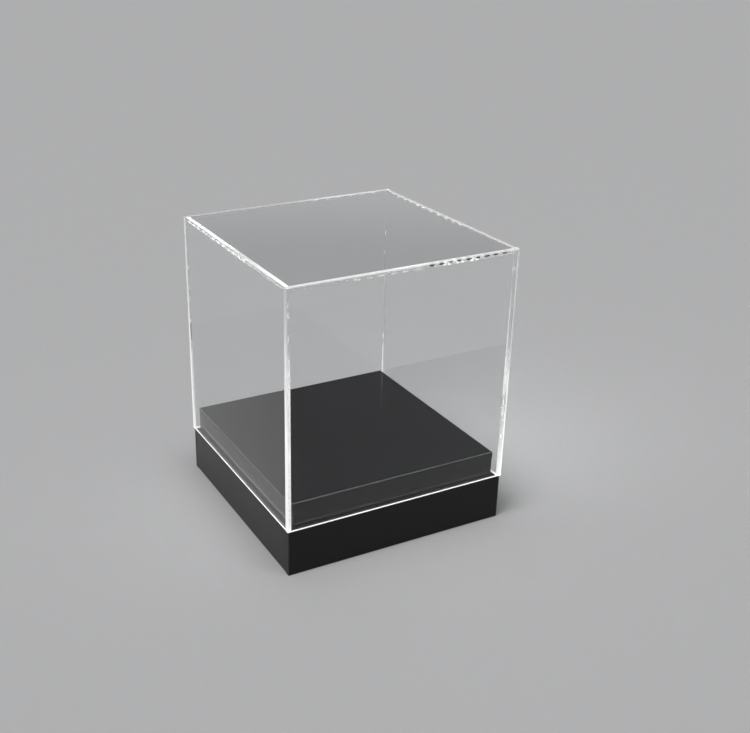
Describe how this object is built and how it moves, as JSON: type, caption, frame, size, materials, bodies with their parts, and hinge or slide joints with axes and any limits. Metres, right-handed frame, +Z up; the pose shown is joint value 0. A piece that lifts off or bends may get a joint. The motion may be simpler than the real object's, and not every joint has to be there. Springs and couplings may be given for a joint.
{
  "type": "acrylic display cube",
  "caption": "Clear five-sided cube cover of bonded acrylic sheet that lifts straight off a stepped gloss-black base with a raised display deck.",
  "frame": {"origin": "centre of the base's underside, on the surface the case stands on", "axes": "+Z up, along the cover's lift; -Y is the front; +X is the right"},
  "size_m": [0.1, 0.1, 0.12],
  "materials": {
    "clear_acrylic": "clear cast acrylic sheet, polished faces, lightly frosted cut edges",
    "black_acrylic": "opaque black acrylic sheet, polished gloss, faint hairline scratches and dust"
  },
  "bodies": {
    "base": {"riser_front_wall": "black_acrylic", "riser_right_wall": "black_acrylic", "riser_back_wall": "black_acrylic", "riser_left_wall": "black_acrylic", "skirt_front_strip": "black_acrylic", "skirt_right_strip": "black_acrylic", "skirt_back_strip": "black_acrylic", "skirt_left_strip": "black_acrylic", "deck_panel": "black_acrylic"},
    "cover": {"cover_front_panel": "clear_acrylic", "cover_right_panel": "clear_acrylic", "cover_back_panel": "clear_acrylic", "cover_left_panel": "clear_acrylic", "cover_top_panel": "clear_acrylic"}
  },
  "joints": [
    {"name": "cover_lift", "type": "slide", "parent": "base", "child": "cover", "axis": [0, 0, 1], "range_m": [0, 0.12]}
  ]
}
